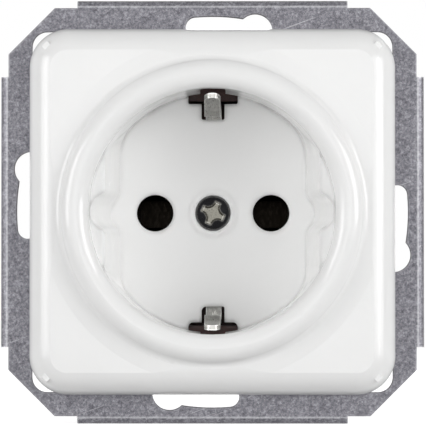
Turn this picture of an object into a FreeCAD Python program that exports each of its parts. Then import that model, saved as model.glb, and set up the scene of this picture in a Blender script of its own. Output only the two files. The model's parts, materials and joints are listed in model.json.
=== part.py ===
import FreeCAD, Part
import math
import os
import Sketcher

# Flush-mounted type F socket insert, in millimetres.
# X points right, Z up and Y into the wall; Y is zero on the rear face of the ring's plate.

SIZES = [
    # support ring
    ("ring_width", 66.0, "plate, across its straight sides"),
    ("ring_chamfer", 7.5, "leg of the corner chamfers"),
    ("ring_thickness", 1.0, "sheet"),
    ("ring_clearance", 0.75, "round the recess moulding, radial"),
    ("ring_edge_round", 0.2, "die roll on the front edges"),
    ("tab_length", 43.7, "turned-back edge tabs"),
    ("tab_bend_radius", 1.2, "outside of the bend"),
    ("tab_depth", 2.4, "plate front to tab end"),
    ("fixing_circle", 60.0, "diameter of the box screw circle"),
    ("slot_width", 3.2, "narrow part of the keyholes"),
    ("slot_head_diameter", 5.6, "wide part of the keyholes"),
    ("slot_head_angle", 13.35, "wide part, clockwise from the axis"),
    ("slot_end_angle", 5.2, "narrow end, anticlockwise from the axis"),
    ("corner_hole_size", 8.0, "square corner openings"),
    ("corner_hole_reach", 29.1, "their outer sides, from the middle"),
    ("corner_hole_round", 2.4, "their corner radius"),
    # cover
    ("cover_width", 59.0, "square outline"),
    ("cover_corner", 6.3, "corner radius of the outline"),
    ("cover_height", 5.8, "rim to plate front"),
    ("cover_edge_round", 5.0, "front edges"),
    ("cover_wall", 2.0, "plate, skirt and floor"),
    ("lip_height", 2.5, "crest above the plate"),
    ("lip_round", 2.3, "crest radius"),
    ("lip_sweep", 1.15, "hollow between lip and dish"),
    ("dish_rise", 0.2, "shallow cone round the lip, above the flat corners"),
    ("dish_width", 2.3, "shallow cone round the lip"),
    ("well_radius", 19.75, "plug recess"),
    ("well_depth", 17.5, "crest to floor"),
    ("well_wall", 1.8, "side wall of the recess"),
    ("well_foot_radius", 19.5, "plug recess at the floor"),
    ("rib_flat", 17.3, "guide flats, from the middle"),
    ("rib_foot", 15.2, "the same at the floor"),
    ("rib_drop", 4.0, "crest to the top of the guide ribs"),
    ("rib_blend", 3.0, "flat to round wall"),
    ("rib_foot_blend", 8.0, "the same at the floor"),
    ("rib_corner", 0.8, "flat to groove"),
    ("rib_foot_corner", 2.5, "the same at the floor"),
    ("groove_radius", 3.05, "half-round guide grooves"),
    ("groove_inset", 0.1, "groove bottom inside the round wall"),
    ("groove_foot_inset", 2.8, "the same at the floor"),
    ("stiffener_thickness", 1.2, "ribs under the plate"),
    ("stiffener_depth", 2.2, "ribs under the plate"),
    ("pin_spacing", 19.0, "pin hole centres"),
    ("pin_hole_diameter", 6.0, "pin holes"),
    ("pin_hole_chamfer", 0.25, "their front edge"),
    ("earth_stem_width", 3.75, "stem of the T-shaped cut-outs"),
    ("earth_slot_lead", 2.2, "T-shaped cut-outs into the round wall, from the floor"),
    ("earth_stem_reach", 15.3, "inner end of the stem"),
    ("earth_bar_width", 8.1, "bar of the T-shaped cut-outs"),
    ("earth_bar_reach", 17.9, "inner side of the bar"),
    ("earth_bar_undercut", 0.5, "bar into the round wall"),
    ("earth_slot_round", 0.3, "corners of the cut-outs"),
    ("earth_slot_worn_round", 0.8, "lower cut-out, corners of its bar and left of its stem"),
    ("earth_window_width", 4.1, "opening up the wall"),
    ("earth_window_drop", 4.6, "crest to the opening's end"),
    # cover screw
    ("cover_screw_diameter", 3.5, "thread"),
    ("cover_screw_head", 5.4, "head diameter"),
    ("cover_screw_head_height", 1.6, "head, without its dome"),
    ("cover_screw_dome", 0.35, "dome height"),
    ("cover_screw_sink", 0.25, "head rim below the floor"),
    ("cover_screw_reach", 6.5, "thread beyond the bracket's front"),
    ("cover_screw_gap", 0.2, "round the head and the shank"),
    ("recess_length", 4.1, "cross recess, end to end"),
    ("recess_width", 1.2, "cross recess arms"),
    ("recess_core_round", 1.0, "between the cross recess arms"),
    ("recess_depth", 1.1, "cross recess"),
    ("recess_draft", 16.0, "degrees, cross recess"),
    ("recess_angle", 25.0, "cross recess, clockwise"),
    ("screw_land_radius", 3.9, "raised land round the screw"),
    ("screw_land_height", 0.12, "raised land round the screw"),
    ("screw_boss_radius", 4.2, "boss behind the floor"),
    ("screw_boss_height", 1.8, "boss behind the floor"),
    # earth bracket
    ("bracket_thickness", 1.2, "strip"),
    ("bracket_width", 6.4, "strip across the base"),
    ("clip_width", 2.6, "earth clips"),
    ("clip_thickness", 0.8, "earth clips"),
    ("clip_foot_reach", 17.3, "inner face at the floor, from the middle"),
    ("clip_tip_reach", 18.3, "inner face at the tip"),
    ("clip_crest_upper", 15.4, "innermost point of the upper clip"),
    ("clip_crest_lower", 16.6, "innermost point of the lower clip"),
    ("clip_bend_step", 1.0, "crest to the bend above it"),
    ("clip_tip_drop", 5.3, "crest of the lip to the clip tips"),
    ("clip_bend_drop", 9.2, "crest of the lip to the bend"),
    ("clip_crest_drop", 10.6, "crest of the lip to the innermost point"),
    ("clip_foot_drop", 15.5, "crest of the lip to the straight foot"),
    ("clip_tip_round", 1.2, "corners of the tips"),
    ("clip_bend_round", 0.9, "bends of the clips"),
    ("loop_inner", 12.6, "spring loop behind each clip, inner face"),
    ("loop_depth", 19.6, "spring loops, ring to rear face"),
    ("nut_boss_radius", 3.0, "threaded boss of the bracket"),
    ("nut_boss_height", 3.0, "threaded boss of the bracket"),
    ("thread_gap", 0.05, "between a thread and its nut, radial"),
    ("tail_inner", 5.6, "earth tail, inner side"),
    ("tail_width", 3.2, "earth tail at the bend"),
    ("tail_plate_width", 10.0, "earth terminal plate"),
    # base
    ("base_depth", 31.0, "ring to rear face"),
    ("base_half_width", 17.6, "contact block"),
    ("base_half_height", 19.8, "contact block"),
    ("base_corner", 5.0, "contact block"),
    ("flange_thickness", 2.4, "flange behind the ring"),
    ("cup_gap", 0.35, "round and behind the recess moulding"),
    ("cup_wall", 1.0, "wall round the recess moulding"),
    ("cup_floor", 1.7, "floor behind the recess moulding"),
    ("clip_well_half_width", 4.4, "wells round the clips' spring loops"),
    ("claw_notch_half", 7.2, "side openings for the claws, half height"),
    ("claw_notch_cut", 1.3, "side openings, into the cup's bore"),
    ("chamber_inner", 5.3, "contact chamber, inner side"),
    ("chamber_outer", 13.7, "contact chamber, outer side"),
    ("chamber_half_height", 5.6, "contact chamber"),
    ("chamber_depth", 17.5, "contact chamber"),
    ("strap_gap", 0.15, "round the contact straps"),
    ("bay_inner", 8.6, "terminal bays, inner side"),
    ("bay_outer", 17.4, "terminal bays, outer side"),
    ("bay_front", 15.5, "terminal bays, from the ring"),
    ("rear_recess_depth", 1.2, "moulded recess in the rear face"),
    ("rear_recess_half_width", 8.5, "moulded recess in the rear face"),
    ("rear_recess_half_height", 12.0, "moulded recess in the rear face"),
    # pole contacts and terminals
    ("contact_sheet", 0.8, "spring leaves"),
    ("contact_throat", 4.4, "between the leaves"),
    ("contact_mouth", 6.6, "between the flared ends"),
    ("contact_foot", 7.0, "between the leaves at the web"),
    ("contact_width", 5.8, "leaves"),
    ("contact_front_gap", 6.0, "chamber mouth to the flared ends"),
    ("strap_thickness", 1.2, "terminal strap"),
    ("strap_half_height", 16.6, "terminal strap"),
    ("strap_depth", 9.0, "terminal strap"),
    ("terminal_offset", 13.0, "terminal screws, above and below the middle"),
    ("terminal_thread", 3.0, "terminal screws"),
    ("terminal_head", 5.2, "terminal screws"),
    ("terminal_head_height", 2.0, "terminal screws"),
    ("terminal_slot", 0.8, "driver slot"),
    ("terminal_wire_gap", 1.5, "strap to saddle"),
    ("saddle_thickness", 1.2, "wire clamping plates"),
    ("saddle_length", 7.2, "wire clamping plates"),
    ("saddle_width", 6.8, "wire clamping plates"),
    ("saddle_gap", 0.2, "round the screw"),
    ("terminal_reach", 2.0, "thread beyond the strap"),
    # rivets
    ("rivet_web", 1.25, "ring between its opening and the rivet holes"),
    ("rivet_radius", 1.5, "rivet shank"),
    ("rivet_bore", 0.8, "rivet, hollow inside"),
    ("rivet_head_radius", 2.0, "rivet head and rolled end"),
    ("rivet_head_height", 0.6, "rivet head and rolled end"),
    ("rivet_gap", 0.05, "round the shank"),
    # claws
    ("claw_pivot_depth", 14.5, "claw pivot, behind the ring"),
    ("claw_barrel_radius", 1.2, "rolled edge of the claw"),
    ("claw_barrel_gap", 0.06, "rolled edge in its groove"),
    ("claw_groove_cover", 0.5, "groove lips beyond the pivot"),
    ("claw_sheet", 1.2, "claw sheet"),
    ("claw_half_height", 6.3, "claw"),
    ("claw_barrel_half", 5.0, "rolled edge, half length"),
    ("claw_overreach", 1.6, "screw to the outer bend"),
    ("claw_arm_half", 4.4, "between the arms, half"),
    ("claw_arm_length", 7.0, "arm, behind the plate"),
    ("claw_arm_flare", 1.8, "toothed tip, outward"),
    ("claw_tooth", 0.8, "notch between the teeth"),
    ("claw_fork_gap", 0.25, "fork round the screw"),
    ("claw_screw_web", 0.85, "ring between its opening and the claw screw holes"),
    ("claw_screw_diameter", 3.0, "claw screw"),
    ("claw_screw_head", 4.8, "claw screw head"),
    ("claw_screw_head_height", 1.7, "claw screw head"),
    ("claw_screw_end", 22.0, "claw screw tip, behind the ring"),
    ("claw_screw_gap", 0.15, "claw screw in the ring"),
    ("claw_nut_radius", 2.3, "half-round nut"),
    ("claw_nut_half", 4.0, "half-round nut, half length"),
    ("claw_nut_gap", 0.1, "nut to claw at rest"),
]

doc = FreeCAD.newDocument("wall_socket")
sheet = doc.addObject("Spreadsheet::Sheet", "Sizes")
for row, (alias, number, note) in enumerate(SIZES, start=1):
    sheet.set(f"A{row}", note)
    sheet.set(f"B{row}", str(number))
    sheet.setAlias(f"B{row}", alias)
doc.recompute()


class Size:
    """A number that keeps the sheet formula it comes from."""

    def __init__(self, number, formula):
        self.number = float(number)
        self.formula = formula

    def __add__(self, other):
        other = size_of(other)
        return Size(self.number + other.number, f"({self.formula} + {other.formula})")

    def __sub__(self, other):
        other = size_of(other)
        return Size(self.number - other.number, f"({self.formula} - {other.formula})")

    def __rsub__(self, other):
        return size_of(other) - self

    def __mul__(self, other):
        other = size_of(other)
        return Size(self.number * other.number, f"({self.formula} * {other.formula})")

    def __truediv__(self, other):
        other = size_of(other)
        return Size(self.number / other.number, f"({self.formula} / {other.formula})")

    def __neg__(self):
        return Size(-self.number, f"(0 - {self.formula})")

    __radd__ = __add__
    __rmul__ = __mul__


def size_of(value):
    return value if isinstance(value, Size) else Size(value, repr(value))


def named(alias):
    return Size(getattr(sheet, alias), f"Sizes.{alias}")


def root(size):
    return Size(math.sqrt(size.number), f"sqrt({size.formula})")


def cosine(size):
    return Size(math.cos(math.radians(size.number)), f"cos({size.formula})")


def sine(size):
    return Size(math.sin(math.radians(size.number)), f"sin({size.formula})")


def bind(item, path, size):
    item.setExpression(path, size_of(size).formula)


class Circle:
    def __init__(self, x, y, radius):
        self.x, self.y, self.radius = size_of(x), size_of(y), size_of(radius)


def corner(x, y, radius=None, turn=0):
    """A corner of an outline; with a radius, the side up to it is an arc turning left (1) or right (-1)."""
    return size_of(x), size_of(y), radius, turn


PLANES = {"front": "XZ_Plane", "top": "XY_Plane", "side": "YZ_Plane"}
TINY = 1e-6


def origin_item(body, role):
    return [item for item in body.Origin.OriginFeatures if item.Role == role][0]


def pin_point(sketch, geometry, position, x, y):
    for kind, value in (("DistanceX", x), ("DistanceY", y)):
        index = sketch.addConstraint(Sketcher.Constraint(kind, geometry, position, value.number))
        bind(sketch, f"Constraints[{index}]", value)


def pin_radius(sketch, geometry, radius):
    radius = size_of(radius)
    index = sketch.addConstraint(Sketcher.Constraint("Radius", geometry, radius.number))
    bind(sketch, f"Constraints[{index}]", radius)


def arc_between(first, last, radius, turn):
    start = FreeCAD.Vector(first[0].number, first[1].number, 0)
    end = FreeCAD.Vector(last[0].number, last[1].number, 0)
    chord = end - start
    side = FreeCAD.Vector(-chord.y, chord.x, 0) * turn
    side.normalize()
    height = math.sqrt(max(radius ** 2 - chord.Length ** 2 / 4, 0))
    centre = (start + end) * 0.5 + side * height
    circle = Part.Circle(centre, FreeCAD.Vector(0, 0, 1), radius)
    angles = [math.atan2(point.y - centre.y, point.x - centre.x) for point in (start, end)]
    if turn < 0:
        angles.reverse()
    return Part.ArcOfCircle(circle, angles[0], angles[1])


def draw_outline(sketch, corners):
    """Draws a closed outline with every corner pinned to the sheet."""
    ends = []
    for index, last in enumerate(corners):
        first = corners[index - 1]
        if last[2] is None:
            start = FreeCAD.Vector(first[0].number, first[1].number, 0)
            end = FreeCAD.Vector(last[0].number, last[1].number, 0)
            ends.append((sketch.addGeometry(Part.LineSegment(start, end)), 1, 2))
            continue
        radius = size_of(last[2])
        geometry = sketch.addGeometry(arc_between(first, last, radius.number, last[3]))
        ends.append((geometry, 1, 2) if last[3] > 0 else (geometry, 2, 1))
    for index, (geometry, start, end) in enumerate(ends):
        following = ends[(index + 1) % len(ends)]
        sketch.addConstraint(Sketcher.Constraint("Coincident", geometry, end, following[0], following[1]))
        pin_point(sketch, geometry, end, corners[index][0], corners[index][1])
        if corners[index][2] is not None:
            pin_radius(sketch, geometry, corners[index][2])


def draw(body, name, plane, level, loops):
    sketch = body.newObject("Sketcher::SketchObject", name)
    sketch.AttachmentSupport = [(origin_item(body, PLANES[plane]), "")]
    sketch.MapMode = "FlatFace"
    bind(sketch, "AttachmentOffset.Base.z", -size_of(level) if plane == "front" else level)
    for loop in loops:
        if isinstance(loop, Circle):
            centre = FreeCAD.Vector(loop.x.number, loop.y.number, 0)
            ring = Part.Circle(centre, FreeCAD.Vector(0, 0, 1), loop.radius.number)
            geometry = sketch.addGeometry(ring)
            pin_point(sketch, geometry, 3, loop.x, loop.y)
            pin_radius(sketch, geometry, loop.radius)
        else:
            draw_outline(sketch, loop)
    return sketch


def pad(body, name, plane, loops, start, end):
    """Adds the loops' area from one level of the plane's normal axis up to a higher one."""
    feature = body.newObject("PartDesign::Pad", name)
    feature.Profile = draw(body, name + "_sketch", plane, start, loops)
    feature.Reversed = plane == "front"
    bind(feature, "Length", size_of(end) - start)
    body.Tip = feature
    doc.recompute()
    return feature


def pocket(body, name, plane, loops, start, end, draft=0):
    """Takes the loops' area away from one level of the plane's normal axis up to a higher one.

    With a draft, in degrees, the area narrows on the way.
    """
    before = body.Shape.Volume
    feature = body.newObject("PartDesign::Pocket", name)
    feature.Profile = draw(body, name + "_sketch", plane, start, loops)
    feature.Reversed = plane != "front"
    bind(feature, "Length", size_of(end) - start)
    bind(feature, "TaperAngle", -size_of(draft))
    body.Tip = feature
    doc.recompute()
    if body.Shape.Volume > before - TINY:
        raise ValueError(f"{name} takes nothing away")
    return feature


def loft_away(body, name, plane, sections):
    """Takes away a ruled form that runs through outlines at levels of the plane's normal axis."""
    before = body.Shape.Volume
    sketches = []
    for place, (level, outline) in enumerate(sections):
        sketches.append(draw(body, f"{name}_sketch_{place}", plane, level, [outline]))
    feature = body.newObject("PartDesign::SubtractiveLoft", name)
    feature.Profile = sketches[0]
    feature.Sections = sketches[1:]
    feature.Ruled = True
    body.Tip = feature
    doc.recompute()
    if body.Shape.Volume > before - TINY:
        raise ValueError(f"{name} takes nothing away")
    return feature


def revolve(body, name, corners):
    """Turns an outline, drawn as distance from the Y axis against Y, round that axis."""
    feature = body.newObject("PartDesign::Revolution", name)
    sketch = draw(body, name + "_sketch", "top", 0, [corners])
    feature.Profile = sketch
    feature.ReferenceAxis = (sketch, ["V_Axis"])
    feature.Angle = 360
    body.Tip = feature
    doc.recompute()
    return feature


def turn_away(body, name, corners):
    """Takes away an outline, drawn as for a revolved one, turned round the Y axis."""
    feature = body.newObject("PartDesign::Groove", name)
    sketch = draw(body, name + "_sketch", "top", 0, [corners])
    feature.Profile = sketch
    feature.ReferenceAxis = (sketch, ["V_Axis"])
    feature.Angle = 360
    body.Tip = feature
    doc.recompute()
    return feature


def repeat(body, name, features, count):
    """Repeats features in equal steps round the Y axis."""
    feature = body.newObject("PartDesign::PolarPattern", name)
    feature.Originals = features
    feature.Axis = (origin_item(body, "Y_Axis"), [""])
    feature.Angle = 360
    feature.Occurrences = count
    body.Tip = feature
    doc.recompute()
    return feature


def dress(body, kind, name, property_name, size, rule):
    """Rounds or chamfers the edges that the rule picks."""
    base = body.Tip
    feature = body.newObject(f"PartDesign::{kind}", name)
    edges = [f"Edge{i}" for i, edge in enumerate(base.Shape.Edges, start=1) if rule(edge)]
    feature.Base = (base, edges)
    bind(feature, property_name, size)
    body.Tip = feature
    doc.recompute()
    return feature


def lies_at(edge, y):
    return all(abs(vertex.Point.y - y.number) < 1e-4 for vertex in edge.Vertexes) and (
        abs(edge.BoundBox.YLength) < 1e-4
    )


def runs_at(edge, x, z):
    """Whether an edge runs along Y at this place."""
    box = edge.BoundBox
    return all(abs(value) < 1e-4 for value in (box.XMin - x, box.XMax - x, box.ZMin - z, box.ZMax - z))


def radial_reach(edge):
    return max(math.hypot(vertex.Point.x, vertex.Point.z) for vertex in edge.Vertexes)


def new_body(label, half_turn=False):
    """A sub-part; the left-hand copies are the right-hand ones after half a turn round Y."""
    body = doc.addObject("PartDesign::Body", label)
    body.Label = label
    if half_turn:
        body.Placement = FreeCAD.Placement(
            FreeCAD.Vector(0, 0, 0), FreeCAD.Rotation(FreeCAD.Vector(0, 1, 0), 180)
        )
    return body


def rectangle(x_low, y_low, x_high, y_high):
    return [corner(x_low, y_low), corner(x_high, y_low), corner(x_high, y_high), corner(x_low, y_high)]


def rounded(x_low, y_low, x_high, y_high, radius):
    x_low, y_low, x_high, y_high = [size_of(v) for v in (x_low, y_low, x_high, y_high)]
    return [
        corner(x_low + radius, y_low),
        corner(x_high - radius, y_low),
        corner(x_high, y_low + radius, radius, 1),
        corner(x_high, y_high - radius),
        corner(x_high - radius, y_high, radius, 1),
        corner(x_low + radius, y_high),
        corner(x_low, y_high - radius, radius, 1),
        corner(x_low, y_low + radius),
        corner(x_low + radius, y_low, radius, 1),
    ][1:]


def turned(corners, angle):
    """Corners turned about the sketch origin, anticlockwise."""
    c, s = cosine(angle), sine(angle)
    return [corner(x * c - y * s, x * s + y * c, radius, turn) for x, y, radius, turn in corners]


# Levels along Y that several pieces share
ring_front = -named("ring_thickness")
plate_front = ring_front - named("cover_height")
lip_crest = plate_front - named("lip_height")
floor_front = lip_crest + named("well_depth")
floor_rear = floor_front + named("cover_wall")
boss_rear = floor_rear + named("screw_boss_height")
bracket_rear = boss_rear + named("bracket_thickness")
base_front = floor_rear + named("cup_gap")
base_rear = named("base_depth")
pot_radius = named("well_radius") + named("well_wall")
cup_bore = pot_radius + named("cup_gap")
cup_radius = cup_bore + named("cup_wall")
pin_x = named("pin_spacing") / 2
chamber_rear = base_front + named("chamber_depth")
strap_inner = named("chamber_outer") - named("strap_thickness") - named("strap_gap")
strap_outer = strap_inner + named("strap_thickness")
web_front = chamber_rear - named("strap_gap") - named("contact_sheet")
strap_rear = web_front + named("contact_sheet")
strap_front = strap_rear - named("strap_depth")
terminal_y = (strap_rear + strap_front) / 2
saddle_inner = strap_outer + named("terminal_wire_gap")
saddle_outer = saddle_inner + named("saddle_thickness")
thread_radius = named("terminal_thread") / 2
ring_opening = pot_radius + named("ring_clearance")
rivet_hole = named("rivet_radius") + named("rivet_gap")
rivet_circle = ring_opening + named("rivet_web") + rivet_hole
rivet_offset = rivet_circle / math.sqrt(2)
flange_radius = rivet_circle + named("rivet_head_radius")
claw_screw_hole = named("claw_screw_diameter") / 2 + named("claw_screw_gap")
claw_screw_x = ring_opening + named("claw_screw_web") + claw_screw_hole
claw_pivot_x = named("base_half_width") + named("claw_barrel_radius")


# Support ring
def build_support_ring():
    body = new_body("support_ring")
    half = named("ring_width") / 2
    cut = half - named("ring_chamfer")
    eight = [(cut, -half), (half, -cut), (half, cut), (cut, half)]
    eight += [(-cut, half), (-half, cut), (-half, -cut), (-cut, -half)]
    pad(body, "ring_plate", "front", [[corner(x, z) for x, z in eight]], ring_front, 0)

    bend = named("tab_bend_radius")
    inner_bend = bend - named("ring_thickness")
    tab_end = ring_front + named("tab_depth")
    overlap = 1
    tab = [
        corner(ring_front, half - overlap),
        corner(0, half - overlap),
        corner(0, half),
        corner(inner_bend, half + inner_bend, inner_bend, -1),
        corner(tab_end, half + inner_bend),
        corner(tab_end, half + bend),
        corner(ring_front + bend, half + bend),
        corner(ring_front, half, bend, 1),
    ]
    tab_half = named("tab_length") / 2
    first_tab = pad(body, "ring_tab", "side", [tab], -tab_half, tab_half)
    repeat(body, "ring_tabs", [first_tab], 4)

    holes = [Circle(0, 0, ring_opening)]
    holes += [Circle(side * claw_screw_x, 0, claw_screw_hole) for side in (-1, 1)]
    holes += [
        Circle(side * rivet_offset, up * rivet_offset, rivet_hole) for side in (-1, 1) for up in (-1, 1)
    ]
    pocket(body, "ring_holes", "front", holes, ring_front, 0)

    middle = named("fixing_circle") / 2
    half_slot = named("slot_width") / 2
    head_angle = 90 - named("slot_head_angle")
    end_angle = 90 + named("slot_end_angle")
    c_head, s_head = cosine(head_angle), sine(head_angle)
    c_end, s_end = cosine(end_angle), sine(end_angle)
    outer, inner = middle + half_slot, middle - half_slot
    slot = [
        corner(outer * c_head, outer * s_head),
        corner(outer * c_end, outer * s_end, outer, 1),
        corner(middle * c_end - half_slot * s_end, middle * s_end + half_slot * c_end, half_slot, 1),
        corner(inner * c_end, inner * s_end, half_slot, 1),
        corner(inner * c_head, inner * s_head, inner, -1),
    ]
    first_slot = pocket(body, "ring_slot", "front", [slot], ring_front, 0)
    head = Circle(middle * c_head, middle * s_head, named("slot_head_diameter") / 2)
    first_head = pocket(body, "ring_slot_head", "front", [head], ring_front, 0)
    reach = named("corner_hole_reach")
    near = reach - named("corner_hole_size")
    opening = rounded(near, near, reach, reach, named("corner_hole_round"))
    first_corner = pocket(body, "ring_corner_hole", "front", [opening], ring_front, 0)
    repeat(body, "ring_openings", [first_slot, first_head, first_corner], 4)
    hidden = flange_radius.number
    dress(body, "Fillet", "ring_die_roll", "Radius", named("ring_edge_round"),
          lambda edge: lies_at(edge, ring_front) and radial_reach(edge) > hidden)
    return body


# Cover with lip and plug recess
def well_outline(radius, flat, blend, inset, edge):
    """Right half of the recess outline with its guide ribs, then its mirrored left half."""
    blend_x = flat - blend
    blend_z = root((radius - blend) * (radius - blend) - blend_x * blend_x)
    meet = radius / (radius - blend)
    groove = named("groove_radius")
    groove_x = radius - groove - inset
    edge_x = flat + edge
    edge_z = root((groove + edge) * (groove + edge) - (edge_x - groove_x) * (edge_x - groove_x))
    share = groove / (groove + edge)
    touch_x = groove_x + (edge_x - groove_x) * share
    touch_z = edge_z * share
    right = [
        (blend_x * meet, blend_z * meet, radius, -1),
        (flat, blend_z, blend, -1),
        (flat, edge_z, None, 0),
        (touch_x, touch_z, edge, 1),
        (groove_x + groove, 0, groove, -1),
        (touch_x, -touch_z, groove, -1),
        (flat, -edge_z, edge, 1),
        (flat, -blend_z, None, 0),
        (blend_x * meet, -blend_z * meet, blend, -1),
        (0, -radius, radius, -1),
    ]
    left = [(-size_of(x), -size_of(z), r, turn) for x, z, r, turn in right]
    return [corner(*point) for point in right + left]


def earth_outlines(up):
    """T-shaped cut-out and wall opening, above (1) or below (-1) the middle."""
    stem = named("earth_stem_width") / 2
    bar = named("earth_bar_width") / 2
    low = named("earth_stem_reach") * up
    step = named("earth_bar_reach") * up
    top = (named("well_radius") + named("earth_bar_undercut")) * up
    tee = [(-stem, low), (stem, low), (stem, step), (bar, step)]
    tee += [(bar, top), (-bar, top), (-bar, step), (-stem, step)]
    window = named("earth_window_width") / 2
    beyond = (pot_radius + 1) * up
    opening = [(-window, step), (window, step), (window, beyond), (-window, beyond)]
    return [corner(x, z) for x, z in tee], [corner(x, z) for x, z in opening]


def build_cover():
    body = new_body("cover")
    half = named("cover_width") / 2
    wall = named("cover_wall")
    outline = rounded(-half, -half, half, half, named("cover_corner"))
    dish_top = plate_front - named("dish_rise")
    pad(body, "cover_plate", "front", [outline], dish_top, ring_front)
    dress(body, "Fillet", "cover_edges", "Radius", named("cover_edge_round"),
          lambda edge: lies_at(edge, dish_top))

    lip = named("lip_round")
    sweep = named("lip_sweep")
    lip_x = named("well_radius") + lip
    lip_y = lip_crest + lip
    reach = lip + sweep
    rise = lip_y - (dish_top - sweep)
    run = root(reach * reach - rise * rise)
    lip_foot = lip_x + run
    outside = half * 2
    flats = [
        corner(lip_foot, dish_top),
        corner(lip_foot + named("dish_width"), plate_front),
        corner(outside, plate_front),
        corner(outside, lip_crest),
        corner(lip_foot, lip_crest),
    ]
    turn_away(body, "cover_corner_flats", flats)
    under = plate_front + wall
    hollow_half = half - wall
    hollow = rounded(-hollow_half, -hollow_half, hollow_half, hollow_half, named("cover_corner") - wall)
    pocket(body, "cover_hollow", "front", [hollow], under, ring_front)
    throat = Circle(0, 0, (named("well_radius") + pot_radius) / 2)
    pocket(body, "cover_throat", "front", [throat], dish_top, under)

    rib_top = lip_crest + named("rib_drop")
    profile = [
        corner(0, floor_rear),
        corner(pot_radius, floor_rear),
        corner(pot_radius, under),
        corner(lip_foot, under),
        corner(lip_foot, dish_top),
        corner(lip_x + run * lip / reach, lip_y - rise * lip / reach, sweep, 1),
        corner(lip_x, lip_crest, lip, -1),
        corner(named("well_radius"), lip_y, lip, -1),
        corner(named("well_radius"), rib_top),
        corner(0, rib_top),
    ]
    revolve(body, "cover_pot", profile)
    mouth = well_outline(named("well_radius"), named("rib_flat"), named("rib_blend"),
                         named("groove_inset"), named("rib_corner"))
    foot = well_outline(named("well_foot_radius"), named("rib_foot"), named("rib_foot_blend"),
                        named("groove_foot_inset"), named("rib_foot_corner"))
    loft_away(body, "cover_well", "front", [(rib_top, mouth), (floor_front, foot)])

    pad(body, "cover_screw_boss", "front", [Circle(0, 0, named("screw_boss_radius"))],
        floor_rear - wall / 2, boss_rear)
    land_front = floor_front - named("screw_land_height")
    pad(body, "cover_screw_land", "front", [Circle(0, 0, named("screw_land_radius"))],
        land_front, floor_rear)
    head_seat = floor_front + named("cover_screw_sink") + named("cover_screw_head_height")
    head_hole = named("cover_screw_head") / 2 + named("cover_screw_gap")
    shank_hole = named("cover_screw_diameter") / 2 + named("cover_screw_gap")
    pocket(body, "cover_head_hole", "front", [Circle(0, 0, head_hole)], land_front, head_seat)
    pocket(body, "cover_shank_hole", "front", [Circle(0, 0, shank_hole)], head_seat, boss_rear)

    pin_holes = [Circle(side * pin_x, 0, named("pin_hole_diameter") / 2) for side in (-1, 1)]
    pocket(body, "cover_pin_holes", "front", pin_holes, floor_front, floor_rear)
    pin_rim = named("pin_hole_diameter").number / 2
    dress(body, "Chamfer", "cover_pin_rims", "Size", named("pin_hole_chamfer"),
          lambda edge: lies_at(edge, floor_front) and hasattr(edge.Curve, "Radius")
          and abs(edge.Curve.Radius - pin_rim) < 1e-3)

    tees, windows = zip(*[earth_outlines(up) for up in (1, -1)])
    notch_front = floor_front - named("earth_slot_lead")
    pocket(body, "cover_earth_slots", "front", list(tees), notch_front, floor_rear)
    stem, bar = named("earth_stem_width").number / 2, named("earth_bar_width").number / 2
    low, step = named("earth_stem_reach").number, named("earth_bar_reach").number
    worn = [(-stem, -low), (-bar, -step), (bar, -step)]
    plain = [(stem, -low), (-stem, low), (stem, low), (-bar, step), (bar, step)]
    dress(body, "Fillet", "cover_earth_slot_worn_rounds", "Radius", named("earth_slot_worn_round"),
          lambda edge: any(runs_at(edge, x, z) for x, z in worn))
    dress(body, "Fillet", "cover_earth_slot_rounds", "Radius", named("earth_slot_round"),
          lambda edge: any(runs_at(edge, x, z) for x, z in plain))
    window_front = lip_crest + named("earth_window_drop")
    pocket(body, "cover_earth_windows", "front", list(windows), window_front, floor_rear)

    thin = named("stiffener_thickness") / 2
    inner = pot_radius - named("well_wall") / 2
    outer = (hollow_half - named("cover_corner") + wall) * math.sqrt(2) + named("cover_corner") - wall / 2
    bar = turned(rectangle(inner, -thin, outer, thin), size_of(45))
    rib = pad(body, "cover_stiffener", "front", [bar], under - wall / 2, under + named("stiffener_depth"))
    repeat(body, "cover_stiffeners", [rib], 4)
    return body


# Cover screw
def build_cover_screw():
    body = new_body("cover_screw")
    rim = floor_front + named("cover_screw_sink")
    seat = rim + named("cover_screw_head_height")
    head = named("cover_screw_head") / 2
    dome = named("cover_screw_dome")
    crown = (head * head + dome * dome) / (dome * 2)
    shank = named("cover_screw_diameter") / 2
    tip = boss_rear + named("cover_screw_reach")
    lead = shank / 3
    profile = [
        corner(0, rim - dome),
        corner(head, rim, crown, 1),
        corner(head, seat),
        corner(shank, seat),
        corner(shank, tip - lead),
        corner(shank - lead, tip),
        corner(0, tip),
    ]
    revolve(body, "cover_screw_turned", profile)
    length = named("recess_length") / 2
    width = named("recess_width") / 2
    core = named("recess_core_round")
    arm = [
        corner(length, -width),
        corner(length, width),
        corner(width + core, width),
        corner(width, width + core, core, -1),
    ]
    cross = [point for quarter in range(4) for point in turned(arm, size_of(90 * quarter))]
    outline = turned(cross, -named("recess_angle"))
    pocket(body, "cover_screw_recess", "front", [outline], rim - dome, rim - dome + named("recess_depth"),
           named("recess_draft"))
    return body


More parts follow.
